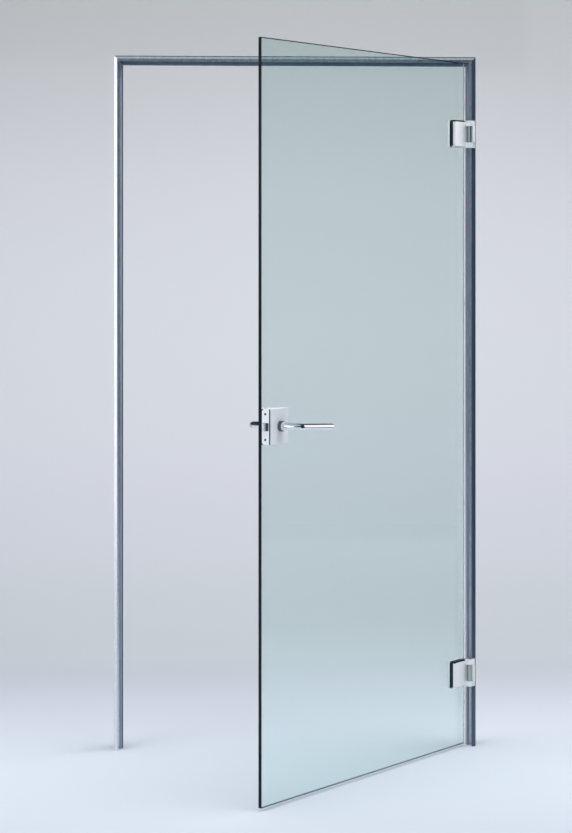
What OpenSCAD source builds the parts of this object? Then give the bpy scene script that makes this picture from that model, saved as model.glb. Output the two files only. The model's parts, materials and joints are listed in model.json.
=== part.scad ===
// Single leaf entrance door of toughened glass in a slim bevelled aluminium frame.
// X runs across the doorway, Y into it away from the side the leaf opens to, Z up.
// The origin is at the middle of the frame's width, on its front plane, at floor level.
// The leaf hangs on two clamp hinges at +X and swings toward -Y.

/* [Overall] */
// Outer width of the frame
frame_width = 1060; // [800:5:1300]
// Outer height of the frame, from the floor
frame_height = 2025; // [1800:5:2600]
// How far the leaf stands open, 0 is closed
open_angle = 52; // [0:1:105]

/* [Frame profile] */
// Width of the frame seen from the front
face_width = 26; // [25:0.5:40]
// Depth of the frame, front to back
frame_depth = 73; // [66:1:120]
// Depth of the rebate that takes the leaf
rebate_depth = 31; // [30:0.5:36]
// Width of the bevelled lip outside the rebate
lip_width = 12; // [12:0.5:16]
// Wall of the hollow profile
frame_wall = 2.2; // [1.8:0.1:3]

/* [Glass leaf] */
// Thickness of the pane
glass_thickness = 10; // [8:1:11]
// Gap between the pane's upright edges and the rebate wall
edge_gap = 3; // [2.5:0.5:5]
// Gap between the pane and the head
top_gap = 5; // [3:0.5:8]
// Gap between the pane and the floor
floor_gap = 8; // [5:1:15]

/* [Hinges] */
// Hinge centre from the pane's top and bottom edges
hinge_inset = 210; // [120:5:350]
// Height of a hinge
hinge_height = 80; // [70:2:110]
// Width of the clamp plate on the glass
hinge_width = 74; // [64:1:95]
// Thickness of the front clamp plate
hinge_thickness = 10; // [8:0.5:14]
// Radius of the hinge pin
pin_r = 4; // [3:0.25:4.5]

/* [Lock] */
// Height of the lever's axis above the floor
handle_height = 997; // [900:1:1100]
// Height of the lock
lock_height = 92.5; // [90:0.5:120]
// Width of the lock
lock_width = 86; // [82:1:100]
// Thickness of the lock in front of the glass
lock_depth = 22.6; // [21:0.2:28]
// Lever axis from the pane's edge
backset = 52; // [50:1:55]
// How far the latch stands out of its front plate
latch_throw = 10; // [9.5:0.5:10.5]

/* [Lever] */
// Diameter of the lever's bar
bar_diameter = 18.5; // [15:0.5:20]
// Bar axis from the lock's face
lever_projection = 55; // [45:1:70]
// Lever length from its axis to its tip
lever_length = 157; // [110:1:180]
// How far the bar slopes down from level, in degrees
lever_droop = 3; // [0:0.5:6]

/* [Hidden] */
$fn = 64;
eps = 0.01;
half_w = frame_width / 2;

// profile
bevel_depth = 4;
lip_flat = 3.4;
inner_bevel = 4;
groove_w = 4;
groove_d = 5;
seal_w = 8;
seal_h = 4.3;
seal_gap = 0.7;
seal_p = lip_width + 3 + seal_w / 2;
chamber_y = rebate_depth + groove_d + frame_wall;
lip_chamber_y = 9;
cleat_arm = 80;
corner_screw_r = 2.5;
fix_y = (chamber_y + frame_depth - frame_wall) / 2;
fix_r = 3.25;
fix_access_r = 6.5;
fix_low = 120;
fix_high = frame_height - 135;
fix_mid_low = fix_low + (fix_high - fix_low) / 3;
fix_mid_high = fix_low + (fix_high - fix_low) * 2 / 3;
head_fix_x = frame_width * 0.25;

// leaf, described closed
margin = lip_width + edge_gap;
leaf_left = -half_w + margin;
leaf_right = half_w - margin;
leaf_bottom = floor_gap;
leaf_top = frame_height - lip_width - top_gap;
glass_back = rebate_depth - seal_h - seal_gap;
glass_front = glass_back - glass_thickness;
gasket = 1;

// hinges
knuckle_r = pin_r + 3.5;
knuckle_gap = 3;
plate_back = glass_front - gasket;
plate_face = plate_back - hinge_thickness;
pivot_y = plate_face - knuckle_gap - knuckle_r;
pivot_x = half_w - lip_width - 6;
mid_half = hinge_height * 0.29;
washer_t = 0.5;
run_gap = 0.1;
bush_r = pin_r + 1.3;
fit = 0.05;
back_inset = face_width - margin + 5;
back_thickness = 7;
clamp_x = leaf_right - hinge_width * 0.55;
clamp_z = hinge_height * 0.28;
clamp_r = 4;
glass_hole_r = 9;
block_front = -3.4;
block_inner_front = 0;
block_back = 6;
block_outer = 3.2;
mid_knuckle_r = knuckle_r - 1;
arm_front = -7.4;
bracket_screw_z = hinge_height * 0.39;
bracket_screw_p = block_outer + 3.5;
bracket_screw_r = 1.6;
bracket_head_r = 3;
bracket_head_y = -0.8;
plate_chamfer = 4.5;
plate_corner = 8;
hinge_low = leaf_bottom + hinge_inset;
hinge_high = leaf_top - hinge_inset;

// lock
forend_t = 3;
forend_cut = 5;
trim_t = 3;
trim_inset = 0.4;
cover_wall = 2.5;
lock_back = glass_front - gasket;
lock_face = lock_back - lock_depth;
lock_left = leaf_left;
lock_right = leaf_left + lock_width;
body_face = lock_face + cover_wall + 0.2;
spindle_x = leaf_left + backset;
latch_t = 8;
latch_h = 18.5;
latch_y = glass_front - 8;
latch_len = 30;
cavity_t = latch_t + 1.2;
hub_r = 8;
spindle_side = 8;
arm_r = 19;
hook_gap = 4.6;
lock_screw_z = lock_height / 2 - 12.25;
lock_screw_near = leaf_left + 30;
lock_screw_far = lock_right - 16;
lock_screw_r = 3;
forend_screw_z = lock_height / 2 - 12.75;
forend_screw_y = lock_face + lock_depth * 0.55;
guide_front = lock_face + 1.6;
guide_back = latch_y + cavity_t / 2 + 1.4;
guide_half = latch_h / 2 + 1.2;
case_left = lock_left + forend_t + trim_t;
rear_left = leaf_left + face_width - margin + 5;
rear_thickness = 8;
rear_face = glass_back + gasket + rear_thickness;
strike_half = 75;
strike_t = 2;
strike_screw_z = 58;

// lever
bar_r = bar_diameter / 2;
bend_r = 18;
collar_r = 14;
collar_h = 8;
neck_r = 9.5;
shoulder_r = 12;
shoulder_gap = 0.6;
grub_y = collar_h + 7;
grub_top = shoulder_r - 1.4;

// ---- helpers ----

module box(x0, x1, y0, y1, z0, z1) {
    translate([x0, y0, z0])
        cube([x1 - x0, y1 - y0, z1 - z0]);
}

// cylinder along Y, from y0 to y1
module ycyl(x, z, r, y0, y1) {
    translate([x, y1, z])
        rotate([90, 0, 0])
            cylinder(r = r, h = y1 - y0);
}

// cylinder along X, from x0 to x1
module xcyl(y, z, r, x0, x1) {
    translate([x0, y, z])
        rotate([0, 90, 0])
            cylinder(r = r, h = x1 - x0);
}

// cone along Y that widens toward y1
module ycone(x, z, r0, r1, y0, y1) {
    translate([x, y1, z])
        rotate([90, 0, 0])
            cylinder(r1 = r1, r2 = r0, h = y1 - y0);
}

module rounded_rect(x0, x1, z0, z1, r) {
    translate([x0 + r, z0])
        square([x1 - x0 - 2 * r, z1 - z0]);
    translate([x0, z0 + r])
        square([x1 - x0, z1 - z0 - 2 * r]);
    for (x = [x0 + r, x1 - r], z = [z0 + r, z1 - r])
        translate([x, z])
            circle(r = r);
}

// plate in the XZ plane between y0 and y1
module plate(x0, x1, y0, y1, z0, z1, r) {
    translate([0, y1, 0])
        rotate([90, 0, 0])
            linear_extrude(height = y1 - y0)
                rounded_rect(x0, x1, z0, z1, r);
}

// turns what was drawn with the leaf closed into its open position
module swung() {
    translate([pivot_x, pivot_y, 0])
        rotate([0, 0, open_angle])
            translate([-pivot_x, -pivot_y, 0])
                children();
}

module hex_head_screw(x, z, r, head_r, y_head, y_seat, y_tip) {
    difference() {
        union() {
            ycyl(x, z, head_r, y_seat, y_head);
            ycyl(x, z, r, y_tip, y_seat);
        }
        translate([x, y_head + eps, z])
            rotate([90, 0, 0])
                cylinder(r = head_r * 0.5, h = head_r * 0.6, $fn = 6);
    }
}

// ---- frame ----

module profile_outline() {
    polygon([
        [0, bevel_depth], [lip_width - lip_flat, 0], [lip_width, 0],
        [lip_width, rebate_depth], [face_width - inner_bevel, rebate_depth],
        [face_width, rebate_depth + inner_bevel], [face_width, frame_depth],
        [0, frame_depth],
    ]);
}

module profile() {
    difference() {
        profile_outline();
        translate([seal_p - groove_w / 2, rebate_depth - 1])
            square([groove_w, groove_d + 1]);
        translate([frame_wall, chamber_y])
            square([face_width - 2 * frame_wall, frame_depth - frame_wall - chamber_y]);
        translate([frame_wall, lip_chamber_y])
            square([lip_width - 2 * frame_wall, rebate_depth + 2 - lip_chamber_y]);
    }
}

module seal_profile() {
    translate([seal_p - groove_w / 2 + 0.1, rebate_depth - 1])
        square([groove_w - 0.2, groove_d + 0.8]);
    difference() {
        union() {
            translate([seal_p - seal_w / 2, rebate_depth - seal_h + 1.5])
                square([seal_w, seal_h - 1.5]);
            translate([seal_p - seal_w / 2 + 1.5, rebate_depth - seal_h])
                square([seal_w - 3, seal_h]);
            for (s = [-1, 1])
                translate([seal_p + s * (seal_w / 2 - 1.5), rebate_depth - seal_h + 1.5])
                    circle(r = 1.5);
        }
        translate([seal_p - seal_w / 2 + 1.2, rebate_depth - seal_h + 1.2])
            square([seal_w - 2.4, seal_h - 2.4]);
    }
}

// everything beyond the mitre plane of the top left corner
module mitre_half(inside) {
    translate([-half_w, 0, frame_height])
        rotate([0, 45, 0])
            translate([-150, -20, inside ? -150 : 0])
                cube([300, frame_depth + 40, 150]);
}

module left_upright() {
    difference() {
        translate([-half_w, 0, 0])
            linear_extrude(height = frame_height)
                children();
        mitre_half(false);
    }
}

module head_bar() {
    difference() {
        translate([-half_w, 0, frame_height])
            rotate([0, 90, 0])
                linear_extrude(height = frame_width)
                    children();
        mitre_half(true);
        mirror([1, 0, 0])
            mitre_half(true);
    }
}

module jamb_fixings() {
    for (z = [fix_low, fix_mid_low, fix_mid_high, fix_high]) {
        xcyl(fix_y, z, fix_r, -half_w - 1, -half_w + frame_wall + 1);
        xcyl(fix_y, z, fix_access_r, -half_w + face_width - frame_wall - 1, -half_w + face_width + 1);
    }
}

module corner_screw_holes(r) {
    xcyl(fix_y, frame_height - 62, r, -half_w + frame_wall + 6, -half_w + face_width + 1);
    translate([-half_w + 62, fix_y, frame_height - face_width - 1])
        cylinder(r = r, h = face_width - frame_wall - 5);
}

module left_jamb_blank() {
    difference() {
        left_upright()
            profile();
        jamb_fixings();
        corner_screw_holes(corner_screw_r + 0.1);
    }
}

module hinge_jamb() {
    color("silver")
        difference() {
            mirror([1, 0, 0])
                left_jamb_blank();
            for (z = [hinge_low, hinge_high]) {
                box(half_w - lip_width - 1, half_w - block_outer + 0.2, -1, block_back,
                    z - hinge_height / 2 - 0.1, z + hinge_height / 2 + 0.1);
                for (s = [-1, 1])
                    ycyl(half_w - bracket_screw_p, z + s * bracket_screw_z, bracket_screw_r + 0.05,
                         block_back - 1, lip_chamber_y + 1);
            }
        }
}

module strike_jamb() {
    color("silver")
        difference() {
            left_jamb_blank();
            box(-half_w + lip_width - strike_t, -half_w + lip_width + 1, 1.6, rebate_depth - 4,
                handle_height - strike_half - 0.1, handle_height + strike_half + 0.1);
            box(-half_w + 4, -half_w + lip_width, latch_y - cavity_t / 2, latch_y + cavity_t / 2,
                handle_height - latch_h / 2 - 0.8, handle_height + latch_h / 2 + 0.8);
            for (s = [-1, 1])
                xcyl(13, handle_height + s * strike_screw_z, 1.6,
                     -half_w + frame_wall + 1, -half_w + lip_width);
        }
}

module head_rail() {
    color("silver")
        difference() {
            head_bar()
                profile();
            for (s = [0, 1])
                mirror([s, 0, 0])
                    corner_screw_holes(corner_screw_r + 0.1);
            for (x = [-head_fix_x, head_fix_x]) {
                translate([x, fix_y, frame_height - frame_wall - 1])
                    cylinder(r = fix_r, h = frame_wall + 2);
                translate([x, fix_y, frame_height - face_width - 1])
                    cylinder(r = fix_access_r, h = frame_wall + 2);
            }
        }
}

module left_cleat() {
    g = 0.1;
    x0 = -half_w + frame_wall + g;
    x1 = -half_w + face_width - frame_wall - g;
    z1 = frame_height - frame_wall - g;
    z0 = frame_height - face_width + frame_wall + g;
    y0 = chamber_y + g;
    y1 = frame_depth - frame_wall - g;
    difference() {
        union() {
            box(x0, x1, y0, y1, frame_height - cleat_arm, z1);
            box(x0, -half_w + cleat_arm, y0, y1, z0, z1);
        }
        corner_screw_holes(corner_screw_r + 0.1);
    }
}

module corner_cleat_strike() {
    color("gray")
        left_cleat();
}

module corner_cleat_hinge() {
    color("gray")
        mirror([1, 0, 0])
            left_cleat();
}

module left_corner_screws() {
    x1 = -half_w + face_width;
    difference() {
        xcyl(fix_y, frame_height - 62, corner_screw_r, x1 - 15, x1 - 0.1);
        xcyl(fix_y, frame_height - 62, 1.2, x1 - 2, x1 + 1);
    }
    translate([-half_w + 62, fix_y, frame_height - face_width])
        difference() {
            translate([0, 0, 0.1])
                cylinder(r = corner_screw_r, h = 14.9);
            translate([0, 0, -1])
                cylinder(r = 1.2, h = 3);
        }
}

module corner_screws() {
    color("dimgray") {
        left_corner_screws();
        mirror([1, 0, 0])
            left_corner_screws();
    }
}

module seal_strike_jamb() {
    color([0.3, 0.32, 0.35])
        left_upright()
            seal_profile();
}

module seal_hinge_jamb() {
    color([0.3, 0.32, 0.35])
        mirror([1, 0, 0])
            left_upright()
                seal_profile();
}

module seal_head() {
    color([0.3, 0.32, 0.35])
        head_bar()
            seal_profile();
}

module strike_plate() {
    x1 = -half_w + lip_width;
    color("lightgray")
        difference() {
            box(x1 - strike_t, x1, 1.7, rebate_depth - 4.1,
                handle_height - strike_half, handle_height + strike_half);
            box(x1 - strike_t - 1, x1 + 1, latch_y - cavity_t / 2, latch_y + cavity_t / 2,
                handle_height - latch_h / 2 - 0.8, handle_height + latch_h / 2 + 0.8);
            for (s = [-1, 1])
                translate([x1 - strike_t - eps, 13, handle_height + s * strike_screw_z])
                    rotate([0, 90, 0])
                        cylinder(r1 = 1.6, r2 = 3.4, h = strike_t + 2 * eps);
        }
}

module strike_screws() {
    x1 = -half_w + lip_width;
    color("dimgray")
        for (s = [-1, 1])
            translate([x1 - strike_t, 13, handle_height + s * strike_screw_z])
                rotate([0, 90, 0])
                    difference() {
                        union() {
                            translate([0, 0, -6])
                                cylinder(r = 1.6, h = 6.01);
                            cylinder(r1 = 1.6, r2 = 3.3, h = strike_t - 0.05);
                        }
                        translate([-2, -0.4, strike_t - 0.6])
                            cube([4, 0.8, 1]);
                        translate([-0.4, -2, strike_t - 0.6])
                            cube([0.8, 4, 1]);
                    }
}

// ---- hinges, drawn about z = 0 with the leaf closed ----

module hinge_bracket() {
    difference() {
        union() {
            translate([half_w, 0, -hinge_height / 2])
                linear_extrude(height = hinge_height)
                    polygon([
                        [-lip_width, block_inner_front], [-block_outer, block_front],
                        [-block_outer, block_back], [-lip_width, block_back],
                    ]);
            translate([half_w, 0, -mid_half])
                linear_extrude(height = 2 * mid_half)
                    polygon([
                        [pivot_x - half_w, pivot_y - 1], [-lip_width + 2, pivot_y + 1],
                        [-block_outer, arm_front], [-block_outer, 0], [pivot_x - half_w, -1],
                    ]);
            translate([pivot_x, pivot_y, -mid_half])
                cylinder(r = mid_knuckle_r, h = 2 * mid_half);
        }
        translate([pivot_x, pivot_y, -hinge_height])
            cylinder(r = pin_r, h = 2 * hinge_height);
        for (s = [-1, 1]) {
            translate([pivot_x, pivot_y, s > 0 ? mid_half : -hinge_height])
                cylinder(r = knuckle_r + 0.6, h = hinge_height - mid_half);
            translate([half_w - bracket_screw_p, bracket_head_y, s * bracket_screw_z])
                rotate([-90, 0, 0])
                    bracket_screw_hole();
        }
    }
}

module bracket_screw_hole() {
    translate([0, 0, -10])
        cylinder(r = bracket_head_r + 0.1, h = 10);
    cylinder(r1 = bracket_head_r + 0.1, r2 = bracket_screw_r + 0.05, h = 1.45);
    cylinder(r = bracket_screw_r + 0.05, h = 10);
}

module bracket_screw_pair() {
    for (s = [-1, 1])
        translate([half_w - bracket_screw_p, bracket_head_y, s * bracket_screw_z])
            rotate([-90, 0, 0])
                difference() {
                    union() {
                        cylinder(r = bracket_screw_r, h = 12);
                        translate([0, 0, 0.05])
                            cylinder(r1 = bracket_head_r, r2 = bracket_screw_r, h = 1.4);
                    }
                    translate([0, 0, -eps])
                        cylinder(r = 1.2, h = 1.1, $fn = 6);
                }
}

module hinge_pin() {
    translate([pivot_x, pivot_y, -hinge_height / 2 - 1.5])
        cylinder(r = pin_r, h = hinge_height + 3);
}

module hinge_plate() {
    z0 = mid_half + run_gap + washer_t;
    difference() {
        union() {
            clamp_plate();
            for (s = [0, 1])
                mirror([0, 0, s]) {
                    box(pivot_x - knuckle_r, leaf_right, pivot_y, plate_face + plate_chamfer,
                        z0, hinge_height / 2);
                    translate([pivot_x, pivot_y, z0])
                        cylinder(r = knuckle_r, h = hinge_height / 2 - z0);
                }
        }
        for (s = [-1, 1]) {
            translate([pivot_x, pivot_y, s > 0 ? 0 : -hinge_height])
                cylinder(r = bush_r, h = hinge_height);
            ycyl(clamp_x, s * clamp_z, clamp_r, plate_face + 2.5, plate_back + 1);
        }
    }
}

// front plate with two rounded corners and a chamfer along its three free edges
module clamp_plate() {
    x0 = leaf_right - hinge_width;
    xr = x0 + plate_corner;
    yc = plate_face + plate_chamfer;
    hz = hinge_height / 2;
    zr = hz - plate_corner;
    box(xr, leaf_right, yc, plate_back, -hz, hz);
    box(x0, xr + 1, yc, plate_back, -zr, zr);
    translate([xr, 0, 0])
        rotate([90, 0, 90])
            linear_extrude(height = hinge_width - plate_corner)
                polygon([
                    [yc + 1, -hz], [yc, -hz], [plate_face, plate_chamfer - hz],
                    [plate_face, hz - plate_chamfer], [yc, hz], [yc + 1, hz],
                ]);
    translate([0, 0, -zr])
        linear_extrude(height = 2 * zr)
            polygon([
                [x0, yc], [x0 + plate_chamfer, plate_face], [xr + 1, plate_face],
                [xr + 1, yc + 1], [x0, yc + 1],
            ]);
    for (z = [-zr, zr]) {
        ycyl(xr, z, plate_corner, yc, plate_back);
        ycone(xr, z, plate_corner - plate_chamfer, plate_corner, plate_face, yc);
    }
}

// rounds the free corner of a clamp plate: s is 1 for the upper and -1 for the lower corner
module corner_cut(r, s) {
    difference() {
        box(-1, r, plate_face - 1, rebate_depth + 20, s > 0 ? -r : -1, s > 0 ? 1 : r);
        ycyl(r, -s * r, r, plate_face - 2, rebate_depth + 21);
    }
}

module hinge_bushes() {
    for (s = [0, 1])
        mirror([0, 0, s])
            translate([pivot_x, pivot_y, mid_half + run_gap])
                difference() {
                    union() {
                        cylinder(r = knuckle_r, h = washer_t);
                        cylinder(r = bush_r, h = hinge_height / 2 - mid_half - run_gap);
                    }
                    translate([0, 0, -1])
                        cylinder(r = pin_r + fit, h = hinge_height);
                }
}

module hinge_back_plate() {
    y0 = glass_back + gasket;
    difference() {
        plate(leaf_right - hinge_width, leaf_right - back_inset, y0, y0 + back_thickness,
              -hinge_height / 2, hinge_height / 2, 2);
        for (s = [-1, 1]) {
            translate([leaf_right - hinge_width, 0, s * hinge_height / 2])
                corner_cut(plate_corner, s);
            ycyl(clamp_x, s * clamp_z, clamp_r + 0.1, y0 - 1, y0 + back_thickness + 1);
            ycyl(clamp_x, s * clamp_z, 6.6, y0 + 3, y0 + back_thickness + 1);
        }
    }
}

module hinge_gasket(x1, y0) {
    difference() {
        plate(leaf_right - hinge_width, x1, y0, y0 + gasket, -hinge_height / 2, hinge_height / 2, 2);
        for (s = [-1, 1]) {
            translate([leaf_right - hinge_width, 0, s * hinge_height / 2])
                corner_cut(plate_corner, s);
            ycyl(clamp_x, s * clamp_z, clamp_r + 0.3, y0 - 1, y0 + 2);
        }
    }
}

module hinge_sleeves() {
    for (s = [-1, 1])
        difference() {
            ycyl(clamp_x, s * clamp_z, glass_hole_r - 0.2, glass_front, glass_back);
            ycyl(clamp_x, s * clamp_z, clamp_r + 0.2, glass_front - 1, glass_back + 1);
        }
}

module hinge_clamp_screws() {
    y_head = glass_back + gasket + back_thickness - 0.2;
    for (s = [-1, 1])
        hex_head_screw(clamp_x, s * clamp_z, clamp_r, 6.5, y_head,
                       glass_back + gasket + 3, plate_face + 2.6);
}

module upper_hinge_bracket() { color("silver") translate([0, 0, hinge_high]) hinge_bracket(); }
module lower_hinge_bracket() { color("silver") translate([0, 0, hinge_low]) hinge_bracket(); }
module upper_bracket_screws() { color("dimgray") translate([0, 0, hinge_high]) bracket_screw_pair(); }
module lower_bracket_screws() { color("dimgray") translate([0, 0, hinge_low]) bracket_screw_pair(); }
module upper_hinge_pin() { color("gray") translate([0, 0, hinge_high]) hinge_pin(); }
module lower_hinge_pin() { color("gray") translate([0, 0, hinge_low]) hinge_pin(); }
module upper_hinge_plate() { color("silver") swung() translate([0, 0, hinge_high]) hinge_plate(); }
module lower_hinge_plate() { color("silver") swung() translate([0, 0, hinge_low]) hinge_plate(); }
module upper_hinge_back_plate() { color("silver") swung() translate([0, 0, hinge_high]) hinge_back_plate(); }
module lower_hinge_back_plate() { color("silver") swung() translate([0, 0, hinge_low]) hinge_back_plate(); }
module upper_hinge_bushes() { color("dimgray") swung() translate([0, 0, hinge_high]) hinge_bushes(); }
module lower_hinge_bushes() { color("dimgray") swung() translate([0, 0, hinge_low]) hinge_bushes(); }
module upper_hinge_sleeves() { color("black") swung() translate([0, 0, hinge_high]) hinge_sleeves(); }
module lower_hinge_sleeves() { color("black") swung() translate([0, 0, hinge_low]) hinge_sleeves(); }
module upper_hinge_screws() { color("gray") swung() translate([0, 0, hinge_high]) hinge_clamp_screws(); }
module lower_hinge_screws() { color("gray") swung() translate([0, 0, hinge_low]) hinge_clamp_screws(); }

module upper_hinge_front_gasket() {
    color("dimgray") swung() translate([0, 0, hinge_high]) hinge_gasket(leaf_right, plate_back);
}

module lower_hinge_front_gasket() {
    color("dimgray") swung() translate([0, 0, hinge_low]) hinge_gasket(leaf_right, plate_back);
}

module upper_hinge_back_gasket() {
    color("dimgray")
        swung()
            translate([0, 0, hinge_high])
                hinge_gasket(leaf_right - back_inset, glass_back);
}

module lower_hinge_back_gasket() {
    color("dimgray")
        swung()
            translate([0, 0, hinge_low])
                hinge_gasket(leaf_right - back_inset, glass_back);
}

// ---- glass ----

module glass_pane() {
    color([0.75, 0.88, 0.9, 0.4])
        swung()
            difference() {
                box(leaf_left, leaf_right, glass_front, glass_back, leaf_bottom, leaf_top);
                for (z = [hinge_low, hinge_high], s = [-1, 1])
                    ycyl(clamp_x, z + s * clamp_z, glass_hole_r, glass_front - 1, glass_back + 1);
                ycyl(spindle_x, handle_height, hub_r + 2, glass_front - 1, glass_back + 1);
                lock_screw_holes(6, glass_front - 1, glass_back + 1);
            }
}

// ---- lock, drawn with the leaf closed ----

module lock_screw_holes(r, y0, y1) {
    for (x = [lock_screw_near, lock_screw_far], s = [-1, 1])
        ycyl(x, handle_height + s * lock_screw_z, r, y0, y1);
}

module lock_outline(x0, y0, y1, r) {
    plate(x0, lock_right, y0, y1, handle_height - lock_height / 2,
          handle_height + lock_height / 2, r);
}

module lock_cover() {
    color("lightgray")
        swung()
            difference() {
                lock_outline(case_left, lock_face, lock_back, 2);
                box(lock_left, lock_right - cover_wall, lock_face + cover_wall, lock_back + 1,
                    handle_height - lock_height / 2 + cover_wall,
                    handle_height + lock_height / 2 - cover_wall);
                ycyl(spindle_x, handle_height, neck_r + 0.5, lock_face - 1, lock_back);
            }
}

module lock_body() {
    z0 = handle_height;
    hh = lock_height / 2 - cover_wall - 0.2;
    color("gray")
        swung()
            difference() {
                box(case_left, lock_right - cover_wall - 0.2, body_face, lock_back,
                    z0 - hh, z0 + hh);
                box(lock_left, spindle_x - 26, latch_y - cavity_t / 2,
                    latch_y + cavity_t / 2, z0 - latch_h / 2 - 0.4, z0 + latch_h / 2 + 0.4);
                box(lock_left + 20, spindle_x + 21, latch_y - cavity_t / 2,
                    latch_y + cavity_t / 2, z0 - 13, z0 + 26);
                ycyl(spindle_x, z0, hub_r + fit, body_face - 1, lock_back + 1);
                lock_screw_holes(lock_screw_r, lock_back - 12, lock_back + 1);
                for (s = [-1, 1])
                    xcyl(forend_screw_y, z0 + s * forend_screw_z, 1.6, lock_left, lock_left + 14);
            }
}

module lock_forend() {
    z0 = handle_height;
    color("lightgray")
        swung()
            difference() {
                box(lock_left, lock_left + forend_t, lock_face, lock_back,
                    z0 - lock_height / 2, z0 + lock_height / 2);
                box(lock_left - 1, lock_left + forend_t + 1, guide_front, guide_back,
                    z0 - guide_half, z0 + guide_half);
                for (s = [-1, 1]) {
                    translate([lock_left - eps, forend_screw_y, z0 + s * forend_screw_z])
                        rotate([0, 90, 0]) {
                            cylinder(r1 = 3.4, r2 = 1.7, h = 1.8);
                            cylinder(r = 1.7, h = forend_t + 1);
                        }
                    translate([lock_left - 1, lock_back, z0 + s * lock_height / 2])
                        rotate([45, 0, 0])
                            translate([0, -forend_cut / sqrt(2), -forend_cut / sqrt(2)])
                                cube([forend_t + 2, forend_cut * sqrt(2), forend_cut * sqrt(2)]);
                }
            }
}

// dark plate behind the forend, with the bolt's guide standing in the forend's window
module lock_trim() {
    z0 = handle_height;
    hh = lock_height / 2 - trim_inset;
    color("black")
        swung()
            difference() {
                union() {
                    box(lock_left + forend_t, case_left, lock_face + trim_inset, lock_back,
                        z0 - hh, z0 + hh);
                    box(lock_left + trim_inset, lock_left + forend_t + 1, guide_front, guide_back,
                        z0 - guide_half, z0 + guide_half);
                }
                box(lock_left, case_left + 1, latch_y - cavity_t / 2, latch_y + cavity_t / 2,
                    z0 - latch_h / 2 - 0.4, z0 + latch_h / 2 + 0.4);
                for (s = [-1, 1])
                    xcyl(forend_screw_y, z0 + s * forend_screw_z, 1.6, lock_left, case_left + 1);
            }
}

module forend_screws() {
    color("black")
        swung()
            for (s = [-1, 1])
                translate([lock_left + 0.15, forend_screw_y, handle_height + s * forend_screw_z])
                    rotate([0, 90, 0])
                        difference() {
                            union() {
                                cylinder(r1 = 3.1, r2 = 1.55, h = 1.6);
                                cylinder(r = 1.55, h = 13);
                            }
                            translate([0, 0, -eps])
                                cylinder(r = 1.3, h = 1.2, $fn = 6);
                        }
}

module lock_front_gasket() {
    color("dimgray")
        swung()
            difference() {
                lock_outline(lock_left, lock_back, glass_front, 2);
                ycyl(spindle_x, handle_height, hub_r + 0.5, lock_back - 1, glass_front + 1);
                lock_screw_holes(lock_screw_r + 0.3, lock_back - 1, glass_front + 1);
            }
}

module lock_back_gasket() {
    color("dimgray")
        swung()
            difference() {
                lock_outline(rear_left, glass_back, glass_back + gasket, 2);
                ycyl(spindle_x, handle_height, hub_r + 0.5, glass_back - 1, glass_back + 2);
                lock_screw_holes(lock_screw_r + 0.3, glass_back - 1, glass_back + 2);
            }
}

module lock_back_plate() {
    y0 = glass_back + gasket;
    color("lightgray")
        swung()
            difference() {
                lock_outline(rear_left, y0, rear_face, 3);
                ycyl(spindle_x, handle_height, neck_r + 0.5, y0 - 1, rear_face + 1);
                ycyl(spindle_x, handle_height, 14, y0 - 1, rear_face - 2.5);
                lock_screw_holes(lock_screw_r + 0.1, y0 - 1, rear_face + 1);
                lock_screw_holes(5.1, y0 + 4, rear_face + 1);
            }
}

module lock_screws() {
    color("gray")
        swung()
            for (x = [lock_screw_near, lock_screw_far], s = [-1, 1])
                hex_head_screw(x, handle_height + s * lock_screw_z, lock_screw_r, 5, rear_face - 0.3,
                               glass_back + gasket + 4, lock_back - 11.9);
}

module lock_sleeves() {
    color("black")
        swung()
            difference() {
                lock_screw_holes(5.85, glass_front, glass_back);
                lock_screw_holes(lock_screw_r + 0.2, glass_front - 1, glass_back + 1);
            }
}

module collar(y0, y1) {
    difference() {
        ycyl(spindle_x, handle_height, collar_r, y0, y1);
        ycyl(spindle_x, handle_height, neck_r + fit, y0 - 1, y1 + 1);
    }
}

module front_collar() {
    color("lightgray")
        swung()
            collar(lock_face - collar_h, lock_face);
}

module rear_collar() {
    color("lightgray")
        swung()
            collar(rear_face, rear_face + collar_h);
}

module lever_spring() {
    y0 = glass_back + gasket + 1.3;
    color("gray")
        swung()
            for (k = [0, 1])
                translate([spindle_x, y0 + k * 2.2, handle_height])
                    rotate([90, 0, 0])
                        rotate_extrude()
                            translate([12.6, 0])
                                circle(r = 1.1);
}

// ---- lever set ----

// lever whose root face is at y = 0, reaching toward -Y and then along +X
module lever_shape(root) {
    elbow_y = -lever_projection + bend_r;
    difference() {
        union() {
            ycyl(0, 0, neck_r, -collar_h - 1, root);
            ycone(0, 0, bar_r, shoulder_r, elbow_y, -collar_h - shoulder_gap);
            ycyl(0, 0, bar_r - 0.5, elbow_y - 2, elbow_y + 2);
            rotate([0, lever_droop, 0]) {
                translate([bend_r, elbow_y, 0])
                    rotate([0, 0, 180])
                        rotate_extrude(angle = 90)
                            translate([bend_r, 0])
                                circle(r = bar_r);
                xcyl(-lever_projection, 0, bar_r, bend_r, lever_length - 1);
                translate([lever_length - 1, -lever_projection, 0])
                    rotate([0, 90, 0])
                        cylinder(r1 = bar_r, r2 = bar_r - 1, h = 1);
            }
        }
        box(-spindle_side / 2 - fit, spindle_side / 2 + fit, -collar_h - 12, root + 1,
            -spindle_side / 2 - fit, spindle_side / 2 + fit);
        translate([0, -grub_y, -shoulder_r - 1])
            cylinder(r = 1.6, h = shoulder_r);
    }
}

module front_lever() {
    color("silver")
        swung()
            translate([spindle_x, lock_face, handle_height])
                lever_shape(0.5);
}

module rear_lever() {
    color("silver")
        swung()
            translate([spindle_x, rear_face, handle_height])
                mirror([0, 1, 0])
                    lever_shape(0.3);
}

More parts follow.
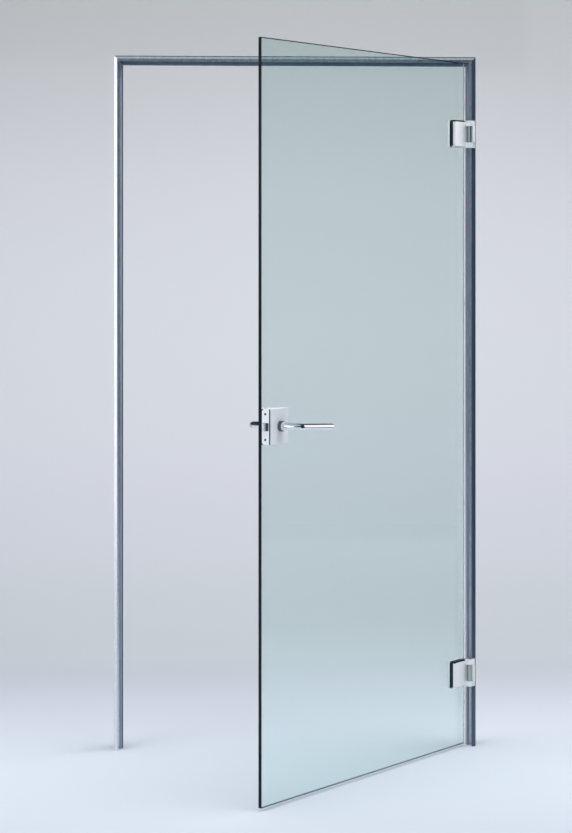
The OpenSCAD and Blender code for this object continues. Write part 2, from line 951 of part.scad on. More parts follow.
module spindle() {
    s = spindle_side / 2;
    color("gray")
        swung()
            box(spindle_x - s, spindle_x + s, lock_face - collar_h - 11.8,
                rear_face + collar_h + 11.8, handle_height - s, handle_height + s);
}

module follower() {
    color("gray")
        swung()
            difference() {
                union() {
                    ycyl(spindle_x, handle_height, hub_r, body_face, lock_back - 0.1);
                    box(spindle_x - 2.5, spindle_x + 2.5, latch_y - 2.5, latch_y + 2.5,
                        handle_height, handle_height + arm_r);
                }
                box(spindle_x - spindle_side / 2 - fit, spindle_x + spindle_side / 2 + fit,
                    body_face - 1, lock_back + 1, handle_height - spindle_side / 2 - fit,
                    handle_height + spindle_side / 2 + fit);
            }
}

module grub_screws() {
    color("dimgray")
        swung()
            for (y = [lock_face - grub_y, rear_face + grub_y])
                translate([spindle_x, y, handle_height - grub_top])
                    difference() {
                        cylinder(r = 1.55, h = grub_top - spindle_side / 2);
                        translate([0, 0, -eps])
                            cylinder(r = 0.9, h = 1.2, $fn = 6);
                    }
}

// ---- latch ----

module latch_bolt() {
    x0 = lock_left - latch_throw;
    x1 = lock_left + latch_len;
    y0 = latch_y - latch_t / 2;
    z0 = handle_height;
    color("gray")
        swung() {
            translate([0, 0, z0 - latch_h / 2])
                linear_extrude(height = latch_h)
                    polygon([
                        [x0, y0], [x1, y0], [x1, y0 + latch_t],
                        [lock_left - 0.5, y0 + latch_t], [x0, y0 + 2.5],
                    ]);
            box(x1 - 8, x1, latch_y - 1.5, latch_y + 1.5, z0, z0 + 24);
            box(x1 - 8, spindle_x + hook_gap + 4.5, latch_y - 1.5, latch_y + 1.5, z0 + 20.5, z0 + 24);
            box(spindle_x + hook_gap, spindle_x + hook_gap + 4.5, latch_y - 1.5, latch_y + 1.5,
                z0 + 15, z0 + 24);
        }
}

hinge_jamb();
strike_jamb();
head_rail();
corner_cleat_hinge();
corner_cleat_strike();
corner_screws();
seal_hinge_jamb();
seal_strike_jamb();
seal_head();
strike_plate();
strike_screws();
upper_hinge_bracket();
lower_hinge_bracket();
upper_bracket_screws();
lower_bracket_screws();
upper_hinge_pin();
lower_hinge_pin();
glass_pane();
upper_hinge_plate();
upper_hinge_back_plate();
upper_hinge_bushes();
upper_hinge_front_gasket();
upper_hinge_back_gasket();
upper_hinge_sleeves();
upper_hinge_screws();
lower_hinge_plate();
lower_hinge_back_plate();
lower_hinge_bushes();
lower_hinge_front_gasket();
lower_hinge_back_gasket();
lower_hinge_sleeves();
lower_hinge_screws();
lock_cover();
lock_body();
lock_trim();
lock_forend();
forend_screws();
lock_front_gasket();
lock_back_gasket();
lock_back_plate();
lock_screws();
lock_sleeves();
front_collar();
rear_collar();
lever_spring();
front_lever();
rear_lever();
spindle();
follower();
grub_screws();
latch_bolt();
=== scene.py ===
"""Looks of the glass entrance door: materials, a bevelled glass edge, studio floor, lights and camera."""

import json
import math

import bpy
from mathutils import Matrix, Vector

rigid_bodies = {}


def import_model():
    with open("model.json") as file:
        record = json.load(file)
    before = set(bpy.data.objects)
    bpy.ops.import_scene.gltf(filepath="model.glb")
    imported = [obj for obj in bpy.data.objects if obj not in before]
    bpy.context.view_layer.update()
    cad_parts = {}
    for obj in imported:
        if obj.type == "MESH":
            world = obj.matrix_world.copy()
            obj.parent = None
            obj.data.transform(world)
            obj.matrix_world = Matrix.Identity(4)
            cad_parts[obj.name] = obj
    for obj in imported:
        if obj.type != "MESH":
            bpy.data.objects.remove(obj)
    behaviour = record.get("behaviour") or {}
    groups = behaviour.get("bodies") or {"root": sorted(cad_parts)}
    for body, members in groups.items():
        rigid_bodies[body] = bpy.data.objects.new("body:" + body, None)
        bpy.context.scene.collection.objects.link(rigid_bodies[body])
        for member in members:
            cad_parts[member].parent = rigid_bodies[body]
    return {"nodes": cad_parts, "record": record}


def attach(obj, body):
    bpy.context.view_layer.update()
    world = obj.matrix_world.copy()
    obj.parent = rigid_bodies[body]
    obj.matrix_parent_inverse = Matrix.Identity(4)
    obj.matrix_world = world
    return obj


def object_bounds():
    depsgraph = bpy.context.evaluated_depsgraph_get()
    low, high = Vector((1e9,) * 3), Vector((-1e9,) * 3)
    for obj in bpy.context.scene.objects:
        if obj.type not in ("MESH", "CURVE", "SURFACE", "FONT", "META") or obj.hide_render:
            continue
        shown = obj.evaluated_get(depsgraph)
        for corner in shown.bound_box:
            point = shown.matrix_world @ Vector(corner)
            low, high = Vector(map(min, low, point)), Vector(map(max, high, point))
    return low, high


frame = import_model()
cad_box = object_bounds()

nodes = frame["nodes"]
record = frame["record"]
joints = {j["name"]: j for j in record["behaviour"]["joints"]}
swing = joints["leaf_swing"]
open_angle = math.radians(-swing["range_deg"][0])
pivot = Vector(swing["pos_m"])
leaf_normal = Vector((math.sin(open_angle), -math.cos(open_angle), 0.0))
leaf_edge = Vector((-math.cos(open_angle), -math.sin(open_angle), 0.0))

# sizes of the CAD parts that the looks follow, in metres
FACE_WIDTH = 0.026
BEVEL_DEPTH = 0.004
REBATE_DEPTH = 0.031
KNUCKLE_RADIUS = 0.0065  # of a hinge's middle knuckle
KNUCKLE_SHARE = 0.58  # of the hinge's height, for the middle knuckle
PLATE_START = 0.012  # from the pivot to the clamp plate's flat part
BRACKET_SLOPE = [(0.5182, -0.0001), (0.5267, -0.0034)]  # the bracket's sloping front, in XY


def heights(name):
    """Lowest and highest Z of a node, in the row frame."""
    node = nodes[name]
    values = [(node.matrix_world @ Vector(corner)).z for corner in node.bound_box]
    return min(values), max(values)


def mesh_object(name, verts, faces):
    mesh = bpy.data.meshes.new(name)
    mesh.from_pydata(verts, [], faces)
    obj = bpy.data.objects.new(name, mesh)
    bpy.context.scene.collection.objects.link(obj)
    return obj


# ---- node helpers ----

class Shader:
    """One material's node tree, with short calls for the nodes that this script uses."""

    def __init__(self, name):
        self.material = bpy.data.materials.new(name)
        self.material.use_nodes = True
        self.tree = self.material.node_tree
        self.tree.nodes.clear()
        self.output = self.add("ShaderNodeOutputMaterial")

    def add(self, kind, **settings):
        node = self.tree.nodes.new(kind)
        for key, value in settings.items():
            setattr(node, key, value)
        return node

    def link(self, source, target):
        self.tree.links.new(source, target)

    def principled(self, colour, metallic=0.0, roughness=0.5, **sockets):
        node = self.add("ShaderNodeBsdfPrincipled")
        node.inputs["Base Color"].default_value = (*colour, 1.0)
        node.inputs["Metallic"].default_value = metallic
        node.inputs["Roughness"].default_value = roughness
        for key, value in sockets.items():
            node.inputs[key.replace("_", " ")].default_value = value
        return node

    def coordinates(self, scale):
        """Object coordinates stretched by scale, in metres; on CAD pieces they are the row frame's."""
        place = self.add("ShaderNodeTexCoord")
        mapping = self.add("ShaderNodeMapping")
        mapping.inputs["Scale"].default_value = scale
        self.link(place.outputs["Object"], mapping.inputs["Vector"])
        return mapping.outputs["Vector"]

    def position(self):
        """The unstretched coordinates, as outputs X, Y and Z."""
        split = self.add("ShaderNodeSeparateXYZ")
        self.link(self.coordinates((1.0, 1.0, 1.0)), split.inputs[0])
        return split.outputs

    def combine(self, operation, first, second):
        node = self.add("ShaderNodeMath", operation=operation)
        self.link(first, node.inputs[0])
        self.link(second, node.inputs[1])
        return node.outputs[0]

    def mix_shaders(self, amount, first, second):
        node = self.add("ShaderNodeMixShader")
        self.link(amount, node.inputs[0])
        self.link(first.outputs[0], node.inputs[1])
        self.link(second.outputs[0], node.inputs[2])
        return node

    def noise(self, scale, detail=3.0, roughness=0.55, distortion=0.0):
        node = self.add("ShaderNodeTexNoise")
        node.inputs["Scale"].default_value = 1.0
        node.inputs["Detail"].default_value = detail
        node.inputs["Roughness"].default_value = roughness
        node.inputs["Distortion"].default_value = distortion
        self.link(self.coordinates(scale), node.inputs["Vector"])
        return node.outputs["Fac"]

    def spread(self, value, low, high, start=0.3, end=0.7):
        """Maps value from start..end to low..high."""
        node = self.add("ShaderNodeMapRange")
        node.inputs["From Min"].default_value = start
        node.inputs["From Max"].default_value = end
        node.inputs["To Min"].default_value = low
        node.inputs["To Max"].default_value = high
        self.link(value, node.inputs["Value"])
        return node.outputs["Result"]

    def ramp(self, value, stops, curve="LINEAR"):
        node = self.add("ShaderNodeValToRGB")
        ramp = node.color_ramp
        ramp.interpolation = curve
        while len(ramp.elements) < len(stops):
            ramp.elements.new(0.5)
        for element, (at, colour) in zip(ramp.elements, stops):
            element.position = at
            element.color = (*colour, 1.0)
        self.link(value, node.inputs["Fac"])
        return node.outputs["Color"]

    def bump(self, height, distance, strength=1.0, normal=None):
        node = self.add("ShaderNodeBump")
        node.inputs["Distance"].default_value = distance
        node.inputs["Strength"].default_value = strength
        self.link(height, node.inputs["Height"])
        if normal is not None:
            self.link(normal, node.inputs["Normal"])
        return node.outputs["Normal"]

    def rounded_edges(self, radius):
        node = self.add("ShaderNodeBevel", samples=4)
        node.inputs["Radius"].default_value = radius
        return node.outputs["Normal"]

    def lets_light_through(self, surface, tint):
        """Keeps a surface's look, and casts only a faint tinted shadow."""
        clear = self.add("ShaderNodeBsdfTransparent")
        clear.inputs["Color"].default_value = (*tint, 1.0)
        rays = self.add("ShaderNodeLightPath")
        return self.mix_shaders(rays.outputs["Is Shadow Ray"], surface, clear)

    def finish(self, surface):
        self.link(surface.outputs[0], self.output.inputs["Surface"])
        return self.material


# ---- materials ----

ALONG_X, ALONG_Z = 0, 2
UNSHADED = (1.0, 1.0, 1.0)
EDGE_SHADE = (0.3, 0.3, 0.3)
GLASS_TINT = (0.857, 0.962, 0.947)
GLASS_PAINTED_EDGE_SHADE = (0.10, 0.15, 0.16)
GLASS_SHADOW = (0.86, 0.92, 0.915)


def drawn_metal(name, colour, roughness, along, edge_radius, metallic=1.0, painted_dark_top_line=None):
    """Satin metal with fine lines along one axis, soft edges, faint cloudiness and handling marks.

    painted_dark_top_line gives the heights between which it darkens toward an upper edge, a painted dark
    reflection.
    """
    s = Shader(name)
    fine = [1400.0, 1400.0, 1400.0]
    fine[along] = 6.0
    lines = s.noise(tuple(fine), detail=2.0)
    clouds = s.noise((9.0, 9.0, 4.0), detail=3.0)
    marks = s.noise((60.0, 60.0, 25.0), detail=4.0, distortion=0.6)
    bsdf = s.principled(colour, metallic=metallic, roughness=roughness)
    dark = tuple(c * 0.96 for c in colour)
    light = tuple(min(1.0, c * 1.04) for c in colour)
    tone = s.ramp(clouds, [(0.3, dark), (0.7, light)])
    # painted reflection: a dark line toward the upper edge
    if painted_dark_top_line:
        height = s.spread(s.position()["Z"], 0.0, 1.0, *painted_dark_top_line)
        shade = s.ramp(height, [(0.0, UNSHADED), (1.0, EDGE_SHADE)])
        multiply = s.add("ShaderNodeMix", data_type="RGBA", blend_type="MULTIPLY")
        multiply.inputs["Factor"].default_value = 1.0
        s.link(tone, multiply.inputs[6])
        s.link(shade, multiply.inputs[7])
        tone = multiply.outputs[2]
    s.link(tone, bsdf.inputs["Base Color"])
    handled = s.spread(marks, roughness - 0.007, roughness + 0.010)
    s.link(s.combine("ADD", s.spread(lines, -0.02, 0.02), handled), bsdf.inputs["Roughness"])
    s.link(s.bump(lines, 0.000001, normal=s.rounded_edges(edge_radius)), bsdf.inputs["Normal"])
    return s.finish(bsdf)


def polished_metal(name, colour, roughness, edge_radius):
    """Bright plated metal with hairline scratches and faint finger marks."""
    s = Shader(name)
    scratches = s.noise((220.0, 3200.0, 900.0), detail=2.0)
    marks = s.noise((45.0, 45.0, 45.0), detail=5.0, distortion=0.8)
    bsdf = s.principled(colour, metallic=1.0, roughness=roughness)
    s.link(s.spread(marks, roughness, roughness + 0.07, 0.45, 0.75), bsdf.inputs["Roughness"])
    s.link(s.bump(scratches, 0.0000015, normal=s.rounded_edges(edge_radius)), bsdf.inputs["Normal"])
    return s.finish(bsdf)


def rubber(name, colour, grain=0.00003):
    """Matte extruded rubber with a dusty, finely pitted surface."""
    s = Shader(name)
    pits = s.noise((1500.0, 1500.0, 300.0), detail=3.0)
    dust = s.noise((25.0, 25.0, 10.0), detail=4.0)
    bsdf = s.principled(colour, roughness=0.6)
    pale = tuple(c * 1.25 + 0.01 for c in colour)
    s.link(s.ramp(dust, [(0.35, colour), (0.75, pale)]), bsdf.inputs["Base Color"])
    s.link(s.spread(dust, 0.52, 0.68), bsdf.inputs["Roughness"])
    s.link(s.bump(pits, grain), bsdf.inputs["Normal"])
    return s.finish(bsdf)


def turned_steel(name, colour, roughness):
    """Plated fastener steel with slight blotches and worn rims."""
    s = Shader(name)
    blotches = s.noise((300.0, 300.0, 300.0), detail=4.0)
    bsdf = s.principled(colour, metallic=1.0, roughness=roughness)
    dark = tuple(c * 0.8 for c in colour)
    s.link(s.ramp(blotches, [(0.35, dark), (0.65, colour)]), bsdf.inputs["Base Color"])
    s.link(s.spread(blotches, roughness - 0.05, roughness + 0.12), bsdf.inputs["Roughness"])
    s.link(s.bump(blotches, 0.00001, normal=s.rounded_edges(0.0003)), bsdf.inputs["Normal"])
    return s.finish(bsdf)


def clear_glass(name, bottom, top, haze=0.0):
    """Toughened float glass: faint blue-green tint, slight roller waves and barely visible wiping marks.

    A painted shade darkens it in a thin line along its bottom and top edges; haze is the roughness of a
    ground face.
    """
    s = Shader(name)
    waves = s.noise((1.2, 1.2, 5.0), detail=1.0)
    wiping = s.noise((7.0, 7.0, 3.0), detail=6.0, roughness=0.65, distortion=1.2)
    bsdf = s.principled(GLASS_TINT, roughness=haze, Transmission_Weight=1.0, IOR=1.52)
    height = s.position()["Z"]
    full, gone = 0.0020, 0.0030
    # painted shade: a thin dark line along the bottom and top edges
    edges = s.combine("MAXIMUM", s.spread(height, 0.0, 1.0, top - gone, top - full),
                      s.spread(height, 1.0, 0.0, bottom + full, bottom + gone))
    s.link(s.ramp(edges, [(0.0, GLASS_TINT), (1.0, GLASS_PAINTED_EDGE_SHADE)]), bsdf.inputs["Base Color"])
    s.link(s.spread(wiping, haze, haze + 0.012, 0.5, 0.8), bsdf.inputs["Roughness"])
    s.link(s.bump(waves, 0.00008, strength=0.35), bsdf.inputs["Normal"])
    return s.finish(s.lets_light_through(bsdf, GLASS_SHADOW))


def glass_edge():
    """The pane's ground and polished rim, which looks almost black-green seen through its depth."""
    s = Shader("door_glass_edge")
    depth = s.noise((60.0, 60.0, 2.5), detail=3.0)
    grind = s.noise((900.0, 900.0, 60.0), detail=2.0)
    bsdf = s.principled((0.01, 0.02, 0.02), roughness=0.2, IOR=1.22)
    s.link(s.ramp(depth, [(0.3, (0.004, 0.007, 0.009)), (0.7, (0.02, 0.028, 0.034))]),
           bsdf.inputs["Base Color"])
    s.link(s.spread(grind, 0.16, 0.3), bsdf.inputs["Roughness"])
    s.link(s.bump(grind, 0.000006), bsdf.inputs["Normal"])
    return s.finish(s.lets_light_through(bsdf, GLASS_SHADOW))


anodised = (0.73, 0.75, 0.78)
upright_metal = drawn_metal("anodised_upright", anodised, 0.27, ALONG_Z, 0.0004)
head_metal = drawn_metal("anodised_head", anodised, 0.27, ALONG_X, 0.0004)
# painted shade: a darker line for the rebate's inner bevels
painted_shade_line_metal = drawn_metal("anodised_inner_line_painted_shade", (0.10, 0.13, 0.165), 0.3, ALONG_Z, 0.0004)
# painted shade: a darker green-grey for the bracket's middle knuckle
knuckle_painted_shade = drawn_metal("hinge_knuckle_painted_shade", (0.50, 0.57, 0.51), 0.34, ALONG_Z, 0.0004)
cleat_metal = turned_steel("cast_cleat", (0.6, 0.6, 0.61), 0.5)
hinge_metal = drawn_metal("hinge_satin", (0.97, 0.975, 0.99), 0.36, ALONG_Z, 0.0008, metallic=0.3)
lock_metal = drawn_metal("lock_satin", (0.99, 0.97, 1.0), 0.36, ALONG_Z, 0.0010, metallic=0.0)
lever_metal = polished_metal("lever_chrome", (0.84, 0.85, 0.87), 0.07, 0.0006)
screw_metal = turned_steel("plated_steel", (0.5, 0.51, 0.53), 0.3)
# painted reflection: a dark chrome for the collars
collar_painted_dark_reflection = polished_metal("collar_chrome_painted_dark_reflection", (0.16, 0.165, 0.175), 0.12, 0.0006)
# blackened steel for the dark steel parts, also used as painted shade on the hinge plates' outlines
dark_steel_and_painted_shade = turned_steel("blackened_steel_and_painted_shade", (0.05, 0.05, 0.055), 0.35)
seal_grey = rubber("seal_rubber", (0.30, 0.34, 0.42))
# painted shade: darker copies of the seal rubber for the head's and the hinge jamb's seals
painted_shade_head_seal = rubber("head_seal_rubber", (0.08, 0.115, 0.165))
painted_shade_hinge_seal = rubber("hinge_seal_rubber", (0.20, 0.23, 0.285))
gasket_black = rubber("gasket_rubber", (0.02, 0.02, 0.022))
bush_black = rubber("bush_plastic", (0.03, 0.03, 0.034), grain=0.00001)
glass_clear = clear_glass("door_glass_clear", *heights("glass_pane"))
glass_ground = clear_glass("door_glass_ground", *heights("glass_pane"), haze=0.4)
glass_rim = glass_edge()

slot_materials = {
    "frame_aluminium": upright_metal,
    "cleat_aluminium": cleat_metal,
    "seal_rubber": seal_grey,
    "gasket_rubber": gasket_black,
    "bush_plastic": bush_black,
    "lever_chrome": lever_metal,
    "lock_satin": lock_metal,
    "hinge_metal": hinge_metal,
    "dark_steel": dark_steel_and_painted_shade,
    "steel": screw_metal,
    "door_glass": glass_clear,
}
for part in record["subparts"]:
    mesh = nodes[part["node"]].data
    mesh.materials.clear()
    mesh.materials.append(slot_materials[part["material_slot"]])
nodes["head_rail"].data.materials[0] = head_metal
# painted shade: the head's seal and the hinge jamb's seal take the darker copies of the seal rubber
nodes["seal_head"].data.materials[0] = painted_shade_head_seal
nodes["seal_hinge_jamb"].data.materials[0] = painted_shade_hinge_seal


def give_faces(node, material, chosen):
    """Puts one more material on a node, on the faces that chosen picks."""
    mesh = nodes[node].data
    mesh.materials.append(material)
    for face in mesh.polygons:
        if chosen(face):
            face.material_index = len(mesh.materials) - 1


def faces_toward(direction, least=0.99):
    wanted = Vector(direction).normalized()
    return lambda face: face.normal.dot(wanted) > least


# the pane's large faces are clear, its hinge side is ground, and its other rims look dark
pane = nodes["glass_pane"]
give_faces("glass_pane", glass_rim, lambda face: abs(face.normal.dot(leaf_normal)) < 0.99
           and face.normal.dot(leaf_edge) > -0.99)
give_faces("glass_pane", glass_ground, faces_toward(-leaf_edge))

# all its edges are broken by a narrow arris in the dark rim's material
arris = pane.modifiers.new("arris", "BEVEL")
arris.width = 0.0009
arris.segments = 1
arris.limit_method = "ANGLE"
arris.angle_limit = math.radians(60)
arris.material = pane.data.materials.find(glass_rim.name)

# painted reflection: the head's outer bevel darkens toward its upper edge, a painted dark reflection of
# its rounded top edge
head_top = heights("head_rail")[1]
head_bevel = drawn_metal("anodised_head_bevel_painted_reflection", anodised, 0.27, ALONG_X, 0.0004,
                         painted_dark_top_line=(head_top - 0.0034, head_top - 0.0024))
give_faces("head_rail", head_bevel, faces_toward((0.0, -0.907, 0.42)))

# painted light: the hinge jamb's lip is painted dark as a dark reflection, and its reveal is painted
# bright as a highlight
lip_painted_dark_reflection = drawn_metal("anodised_lip_painted_dark_reflection", (0.09, 0.12, 0.16), 0.3, ALONG_Z, 0.0004, metallic=0.55)
reveal_painted_highlight = drawn_metal("anodised_reveal_painted_highlight", (0.95, 0.955, 0.96), 0.27, ALONG_Z, 0.0004, metallic=0.5)
reveal_x = cad_box[1].x - FACE_WIDTH + 0.001
give_faces("hinge_jamb", lip_painted_dark_reflection,
           lambda face: face.normal.y < -0.9 and face.center.y < BEVEL_DEPTH + 0.0005)
give_faces("hinge_jamb", reveal_painted_highlight,
           lambda face: face.normal.x < -0.99 and face.center.y > REBATE_DEPTH + 0.003
           and face.center.x < reveal_x)

# painted shade: a darker line along the rebate's inner bevel stands in for the shadow gap beside the
# seal, less dark on the hinge jamb
painted_half_shade_line_metal = drawn_metal("anodised_grey_line_painted_shade", (0.50, 0.52, 0.56), 0.3, ALONG_Z, 0.0004)
give_faces("strike_jamb", painted_shade_line_metal, faces_toward((1, -1, 0)))
give_faces("hinge_jamb", painted_half_shade_line_metal, faces_toward((-1, -1, 0)))
give_faces("head_rail", painted_shade_line_metal, faces_toward((0, -1, -1)))


def middle_knuckle(face):
    """The bracket's round knuckle, between the two that belong to the plate."""
    away = face.center - pivot
    on_knuckle = KNUCKLE_RADIUS - 0.001 < math.hypot(away.x, away.y) < KNUCKLE_RADIUS + 0.0002
    return on_knuckle and abs(face.normal.z) < 0.1


# painted shade: the bracket's middle knuckle, set back between the plate's knuckles, is painted a darker
# green-grey
for name in ("upper_hinge_bracket", "lower_hinge_bracket"):
    give_faces(name, knuckle_painted_shade, middle_knuckle)


def plate_outline(face):
    """The plate's side toward the free edge, and its upper chamfer, which are painted dark as shade."""
    away = face.center - pivot
    on_plate = math.hypot(away.x, away.y) > PLATE_START
    sideways = face.normal.dot(leaf_edge)
    upward = face.normal.z
    return on_plate and face.normal.dot(leaf_normal) > -0.1 and (sideways > 0.9 or upward > 0.3)


# painted shade: the plates' sides and upper chamfers take the blackened steel
for name in ("upper_hinge_plate", "lower_hinge_plate"):
    give_faces(name, dark_steel_and_painted_shade, plate_outline)

# the lock forend's front faces are drawn black, so they read one plate deeper, and its bolt is polished
give_faces("lock_forend", bush_black, faces_toward(leaf_normal))
nodes["latch_bolt"].data.materials[0] = lock_metal
# painted reflection: the collars are drawn as dark chrome, a painted dark reflection
for name in ("front_collar", "rear_collar"):
    nodes[name].data.materials[0] = collar_painted_dark_reflection


# ---- cover strips over the frame brackets' screws ----

def cover_strip(name, low, high, line):
    """Thin plate between two heights, following a line of points in the XY plane."""
    thickness = 0.0003
    rounded = 0.0006
    points = [Vector((x, y, 0.0)) for x, y in line]
    along = (points[-1] - points[0]).normalized()
    outward = Vector((along.y, -along.x, 0.0))
    verts = []
    for z, inset in ((low, rounded), (low + rounded, 0.0), (high - rounded, 0.0), (high, rounded)):
        for offset in (0.0, thickness):
            verts.append(points[0] + along * inset + outward * offset + Vector((0, 0, z)))
            verts.append(points[-1] - along * inset + outward * offset + Vector((0, 0, z)))
    faces = []
    for k in range(3):
        a, b = 4 * k, 4 * (k + 1)
        faces += [(a + 2, a + 3, b + 3, b + 2), (a + 1, a, b, b + 1),
                  (a, a + 2, b + 2, b), (a + 3, a + 1, b + 1, b + 3)]
    faces += [(0, 1, 3, 2), (13, 12, 14, 15)]
    strip = mesh_object(name, verts, faces)
    strip.data.materials.append(hinge_metal)
    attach(strip, "frame")


for level in ("upper", "lower"):
    bottom, top = heights(level + "_hinge_bracket")
    middle = (bottom + top) / 2
    past_knuckle = KNUCKLE_SHARE / 2 * (top - bottom) + 0.0005
    margin = 0.0003
    cover_strip(level + "_bracket_cover_high", middle + past_knuckle, top - margin, BRACKET_SLOPE)
    cover_strip(level + "_bracket_cover_low", bottom + margin, middle - past_knuckle, BRACKET_SLOPE)


# ---- studio ----

def soft_light(name, place, target, size, power, colour=(1.0, 1.0, 1.0), shiny=True):
    """Soft box at a place, turned to a target; shiny parts mirror it unless shiny is False."""
    data = bpy.data.lights.new(name, "AREA")
    data.shape = "RECTANGLE"
    data.size, data.size_y = size
    data.energy = power
    data.color = colour
    light = bpy.data.objects.new(name, data)
    light.location = place
    light.rotation_euler = (Vector(target) - Vector(place)).to_track_quat("-Z", "Y").to_euler()
    light.visible_glossy = shiny
    light.visible_transmission = False
    light.visible_camera = False
    bpy.context.scene.collection.objects.link(light)
    return light


def sweep(name, half_width, near, far, radius, height):
    """Pale floor that curves up into a back wall, which doesn't show from behind."""
    rows = [(near, 0.0), (far - radius, 0.0)]
    steps = 24
    for k in range(1, steps + 1):
        turn = math.pi / 2 * k / steps
        rows.append((far - radius + radius * math.sin(turn), radius * (1 - math.cos(turn))))
    rows.append((far, height))
    verts = [(x, y, z) for y, z in rows for x in (-half_width, half_width)]
    faces = [(2 * k, 2 * k + 1, 2 * k + 3, 2 * k + 2) for k in range(len(rows) - 1)]
    paper = mesh_object(name, verts, faces)
    paper.data.polygons.foreach_set("use_smooth", [True] * len(faces))
    s = Shader("studio_paper")
    place = s.position()
    bsdf = s.principled(PAPER_PAINTED_LIGHT[0][1], roughness=0.9)
    start, end = PAPER_PAINTED_LIGHT[0][0], PAPER_PAINTED_LIGHT[-1][0]
    stops = [((at - start) / (end - start), colour) for at, colour in PAPER_PAINTED_LIGHT]
    # painted light and shade: the paper's tone follows the distance along the sweep
    along = s.spread(s.combine("ADD", place["Y"], place["Z"]), 0.0, 1.0, start, end)
    s.link(s.ramp(along, stops, "CARDINAL"), bsdf.inputs["Base Color"])
    fibres = s.noise((160.0, 160.0, 160.0), detail=2.0)
    s.link(s.bump(fibres, 0.0002), bsdf.inputs["Normal"])
    behind = s.add("ShaderNodeNewGeometry").outputs["Backfacing"]
    one_sided = s.mix_shaders(behind, bsdf, s.add("ShaderNodeBsdfTransparent"))
    paper.data.materials.append(s.finish(one_sided))


def cloth(name, colour):
    """A dark woven cloth's shader and its surface, not finished yet."""
    s = Shader(name)
    weave = s.noise((900.0, 900.0, 900.0), detail=2.0)
    bsdf = s.principled(colour, roughness=0.95)
    s.link(s.bump(weave, 0.0002), bsdf.inputs["Normal"])
    return s, bsdf


def stage_for_reflections(obj):
    """Hides an object from camera, diffuse, transmission and shadow rays, so only shiny parts see it."""
    for kind in ("camera", "diffuse", "transmission", "shadow"):
        setattr(obj, "visible_" + kind, False)


def black_flag(name, centre, facing, width, height):
    """Upright black cloth beside the door."""
    along = Vector((-facing[1], facing[0], 0.0)).normalized() * (width / 2)
    low = Vector(centre) - Vector((0.0, 0.0, height / 2))
    high = low + Vector((0.0, 0.0, height))
    flag = mesh_object(name, [low - along, low + along, high + along, high - along], [(0, 1, 2, 3)])
    s, bsdf = cloth("black_cloth", (0.02, 0.03, 0.045))
    flag.data.materials.append(s.finish(bsdf))
    stage_for_reflections(flag)


def floor_cloth(name, corner, turn, fade):
    """Dark cloth far to the right, on the floor and then upright; it fades in over a stretch of its X."""
    near, far, side, top = fade[0], 6.3, 60.0, 8.0
    floor = [(near, -side, 0), (far, -side, 0), (far, side, 0), (near, side, 0)]
    upright = [(far, side, top), (far, -side, top)]
    sheet = mesh_object(name, floor + upright, [(0, 1, 2, 3), (1, 5, 4, 2)])
    sheet.location = corner
    sheet.rotation_euler = (0.0, 0.0, turn)
    s, bsdf = cloth("dark_cloth", (0.02, 0.03, 0.04))
    s.link(s.spread(s.position()["X"], 0.0, 1.0, *fade), bsdf.inputs["Alpha"])
    sheet.data.materials.append(s.finish(bsdf))
    stage_for_reflections(sheet)


# painted light and shade: the paper's tone against the distance along the sweep, in metres from the
# door's plane, stands in for how the lamps light the sweep
PAPER_PAINTED_LIGHT = [
    (-1.4, (0.55, 0.575, 0.63)),
    (-0.2, (0.68, 0.71, 0.775)),
    (0.9, (0.547, 0.557, 0.61)),
    (2.0, (0.475, 0.495, 0.512)),
    (3.8, (0.535, 0.53, 0.564)),
    (5.0, (0.585, 0.582, 0.591)),
    (6.2, (0.59, 0.58, 0.592)),
    (7.2, (0.506, 0.505, 0.496)),
]
sweep("studio_sweep", half_width=40.0, near=-14.0, far=4.5, radius=2.4, height=3.8)
floor_cloth("floor_cloth", corner=(0.25, -0.4, 0.004), turn=math.radians(16.7), fade=(1.6, 2.9))
black_flag("right_flag", centre=(1.5, -0.85, 1.15), facing=(0.76, -0.645), width=1.6, height=2.3)


AIR_FRONT_LEFT = (0.25, 0.315, 0.415)
AIR_FRONT_RIGHT = (0.04, 0.055, 0.085)
AIR_HIGH = (0.46, 0.55, 0.62)
AIR_DARK = (0.03, 0.035, 0.045)
AIR_SEEN = (0.52, 0.545, 0.58)


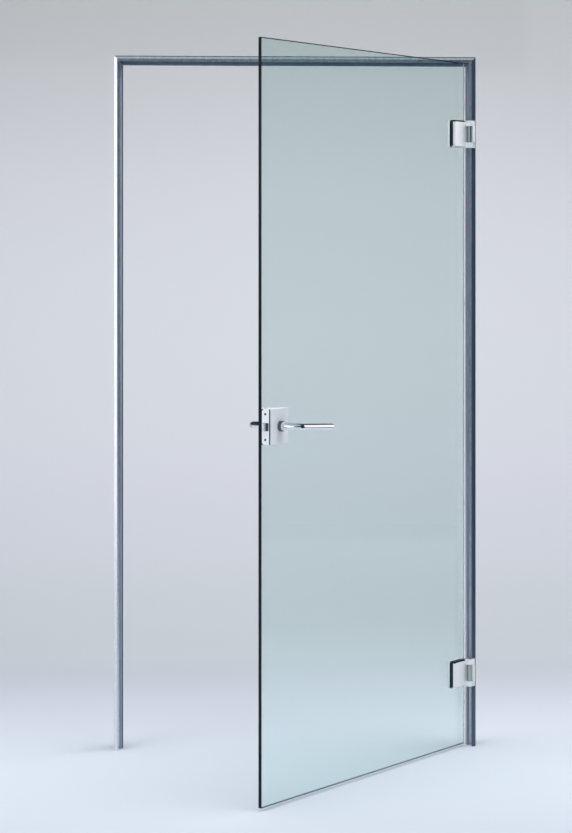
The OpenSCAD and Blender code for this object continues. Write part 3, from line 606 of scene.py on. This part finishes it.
def studio_air():
    """The studio past the sweep: pale where it is looked at, dimmer where it lights and is mirrored."""
    world = bpy.data.worlds.new("studio_air")
    bpy.context.scene.world = world
    world.use_nodes = True
    tree = world.node_tree
    background = tree.nodes["Background"]
    place = tree.nodes.new("ShaderNodeTexCoord")
    rays = tree.nodes.new("ShaderNodeLightPath")

    def facing(direction, start, end):
        """0 to 1 as the looked-at direction turns toward the given one."""
        dot = tree.nodes.new("ShaderNodeVectorMath")
        dot.operation = "DOT_PRODUCT"
        dot.inputs[1].default_value = Vector(direction).normalized()
        tree.links.new(place.outputs["Generated"], dot.inputs[0])
        soft = tree.nodes.new("ShaderNodeMapRange")
        soft.interpolation_type = "SMOOTHSTEP"
        soft.inputs["From Min"].default_value = start
        soft.inputs["From Max"].default_value = end
        tree.links.new(dot.outputs["Value"], soft.inputs["Value"])
        return soft.outputs["Result"]

    def blend(amount, under, over):
        mix = tree.nodes.new("ShaderNodeMix")
        mix.data_type = "RGBA"
        tree.links.new(amount, mix.inputs["Factor"])
        for socket, value in ((mix.inputs[6], under), (mix.inputs[7], over)):
            if isinstance(value, tuple):
                socket.default_value = (*value, 1.0)
            else:
                tree.links.new(value, socket)
        return mix.outputs[2]

    left, right, up, back = (-1.0, 0.0, 0.0), (1.0, 0.0, 0.0), (0.0, 0.0, 1.0), (0.0, 1.0, 0.0)
    colour = blend(facing(right, -0.14, 0.12), AIR_FRONT_LEFT, AIR_FRONT_RIGHT)
    colour = blend(facing(left, 0.90, 0.95), colour, AIR_DARK)
    colour = blend(facing(up, 0.3, 0.62), colour, AIR_HIGH)
    colour = blend(facing(back, -0.15, 0.05), colour, AIR_DARK)
    straight = tree.nodes.new("ShaderNodeMath")
    straight.operation = "MAXIMUM"
    tree.links.new(rays.outputs["Is Camera Ray"], straight.inputs[0])
    tree.links.new(rays.outputs["Is Transmission Ray"], straight.inputs[1])
    colour = blend(straight.outputs[0], colour, AIR_SEEN)
    tree.links.new(colour, background.inputs["Color"])
    background.inputs["Strength"].default_value = 1.0


studio_air()

soft_light("left_front_box", (-4.02, -3.71, 1.7), (0.0, 0.0, 1.2), (4.05, 3.4), 58.0)
right_box = soft_light("right_box", (5.2, 1.8, 2.0), (0.0, 0.0, 1.6), (3.6, 4.0), 52.0)
soft_light("overhead", (0.3, -0.7, 4.8), (0.3, -0.3, 0.0), (6.0, 4.0), 176.0,
           colour=(0.98, 0.99, 1.0), shiny=False)
soft_light("wall_wash", (0.5, 1.4, 1.6), (0.5, 4.5, 1.6), (7.0, 1.2), 22.5,
           colour=(1.0, 0.99, 0.98), shiny=False)

# the right box models the metal, and its image is kept out of the glass
lit = bpy.data.collections.new("right_box_lit")
for obj in bpy.context.scene.objects:
    if obj.type == "MESH" and obj != pane:
        lit.objects.link(obj)
right_box.light_linking.receiver_collection = lit


# ---- camera ----

# it stands 7 m in front of the door at eye level, and its shift keeps the uprights parallel
camera_data = bpy.data.cameras.new("camera")
camera_data.sensor_width = 36.0
camera_data.lens = 104.6
camera_data.shift_y = -0.1895
camera_data.clip_end = 100.0
camera = bpy.data.objects.new("camera", camera_data)
camera.location = (-0.430, -7.067, 1.433)
camera.rotation_euler = (math.radians(90.0), 0.0, math.radians(-3.253))
bpy.context.scene.collection.objects.link(camera)
bpy.context.scene.camera = camera
bpy.context.scene.view_settings.view_transform = "Standard"
